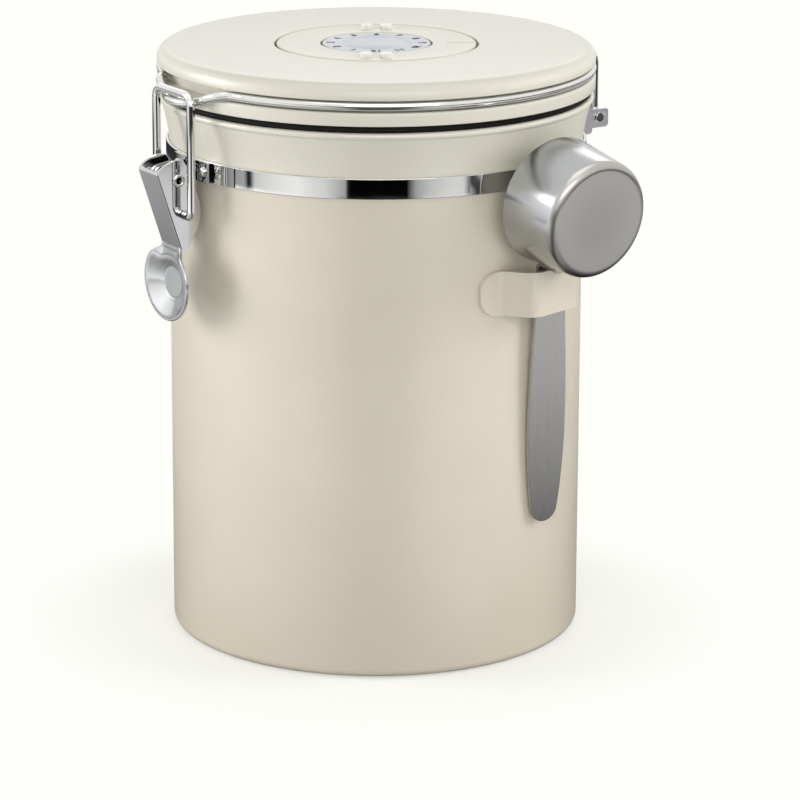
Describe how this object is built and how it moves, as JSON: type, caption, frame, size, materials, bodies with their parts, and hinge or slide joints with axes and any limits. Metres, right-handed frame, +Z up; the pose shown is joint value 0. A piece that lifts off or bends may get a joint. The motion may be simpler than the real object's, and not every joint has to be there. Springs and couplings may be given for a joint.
{
  "type": "coffee_canister",
  "caption": "Round clip-top storage canister with a wire lid hinge, an over-centre lever latch, a turning date dial on the lid and a measuring scoop hung on its side",
  "frame": {"origin": "middle of the base's underside", "axes": "+Z up, latch on -Y, hinge on +Y, scoop on +X"},
  "size_m": [0.1518, 0.1488, 0.174],
  "materials": {
    "enamel": "satin cream coating with fine specks",
    "bright_steel": "polished",
    "satin_steel": "satin brushed",
    "silicone": "matte",
    "dial_plastic": "matte with plain numbers",
    "valve_plastic": "matte"
  },
  "bodies": {
    "canister": {"canister_body": "enamel", "neck_band": "bright_steel", "latch_bracket": "satin_steel", "latch_rivet_left": "bright_steel", "latch_rivet_right": "bright_steel", "latch_pin": "bright_steel", "hinge_bracket": "satin_steel", "hinge_rivet_left": "bright_steel", "hinge_rivet_right": "bright_steel", "scoop_hook": "enamel"},
    "lid": {"lid_cover": "enamel", "lid_pan": "enamel", "lid_gasket": "silicone", "lid_wire": "bright_steel", "date_disc": "dial_plastic", "dial_hub": "valve_plastic", "valve_body": "valve_plastic", "valve_nut": "valve_plastic", "valve_flap": "silicone", "valve_screen": "satin_steel"},
    "dial_ring": {"date_ring": "enamel"},
    "lever": {"latch_lever": "bright_steel"},
    "bail": {"latch_bail": "bright_steel"},
    "scoop": {"scoop_cup": "satin_steel", "scoop_handle": "satin_steel"}
  },
  "joints": [
    {"name": "lid_hinge", "type": "hinge", "parent": "canister", "child": "lid", "pos_m": [0, 0.0697, 0.1457], "axis": [-1, 0, 0], "range_deg": [0, 105]},
    {"name": "date_ring_turn", "type": "hinge", "parent": "lid", "child": "dial_ring", "pos_m": [0, 0, 0.1705], "axis": [0, 0, 1], "continuous": true},
    {"name": "lever_pivot", "type": "hinge", "parent": "canister", "child": "lever", "pos_m": [0, -0.0688, 0.1408], "axis": [-1, 0, 0], "range_deg": [0, 115]},
    {"name": "bail_pivot", "type": "hinge", "parent": "lever", "child": "bail", "pos_m": [0, -0.0671, 0.1308], "axis": [-1, 0, 0], "range_deg": [-115, 0]},
    {"name": "scoop_lift", "type": "slide", "parent": "canister", "child": "scoop", "axis": [0.0332, 0, 0.9995], "range_m": [0, 0.075]}
  ],
  "couplings": [
    {"joint": "bail_pivot", "follows": "lever_pivot", "ratio": -1}
  ]
}
